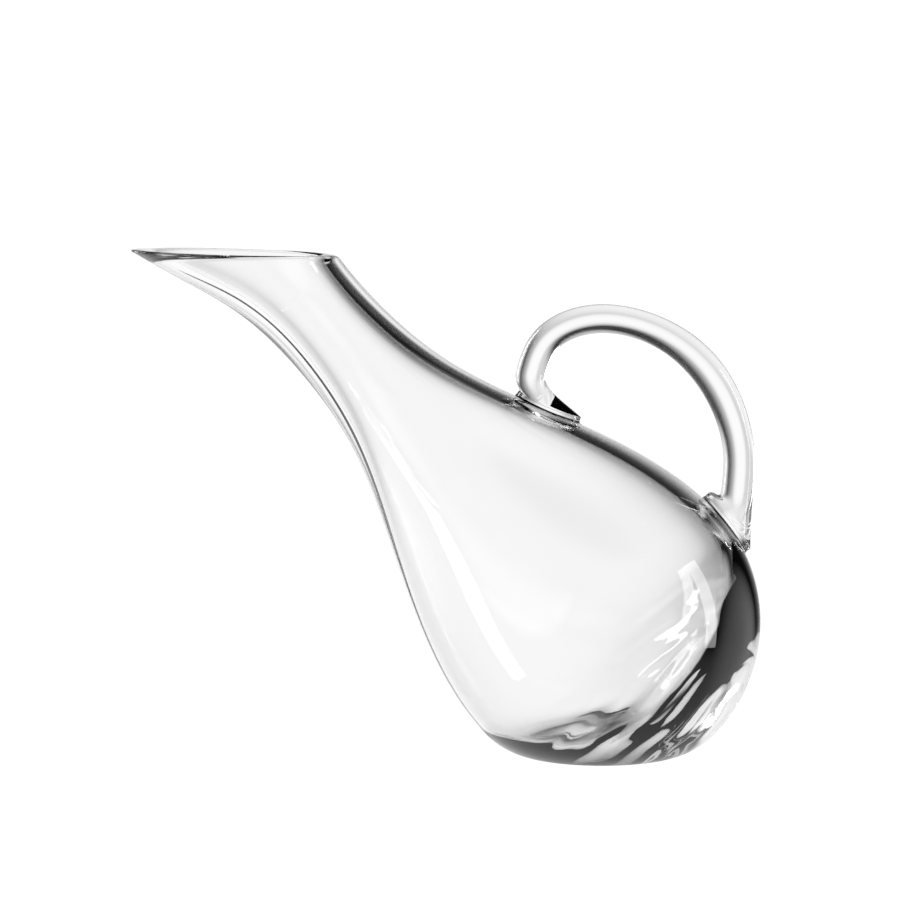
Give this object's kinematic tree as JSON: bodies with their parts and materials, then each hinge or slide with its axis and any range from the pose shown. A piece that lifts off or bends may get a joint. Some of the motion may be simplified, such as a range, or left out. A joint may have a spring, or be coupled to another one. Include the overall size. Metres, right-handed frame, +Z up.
{
  "type": "wine decanter",
  "caption": "Clear blown glass decanter lying back on a round bowl, with a long slanted neck, a level-cut pouring mouth and a looped glass handle.",
  "frame": {"origin": "centre of the flat foot, on the surface that the decanter stands on", "axes": "+Z up, +X towards the thick end of the bowl and the handle, -X towards the spout; symmetric about the XZ plane"},
  "size_m": [0.2957, 0.1514, 0.2394],
  "materials": {
    "vessel_glass": "fire-polished clear glass",
    "handle_glass": "fire-polished clear glass"
  },
  "bodies": {
    "root": {"vessel": "vessel_glass", "handle": "handle_glass", "upper_handle_seal": "handle_glass", "lower_handle_seal": "handle_glass"}
  },
  "joints": []
}
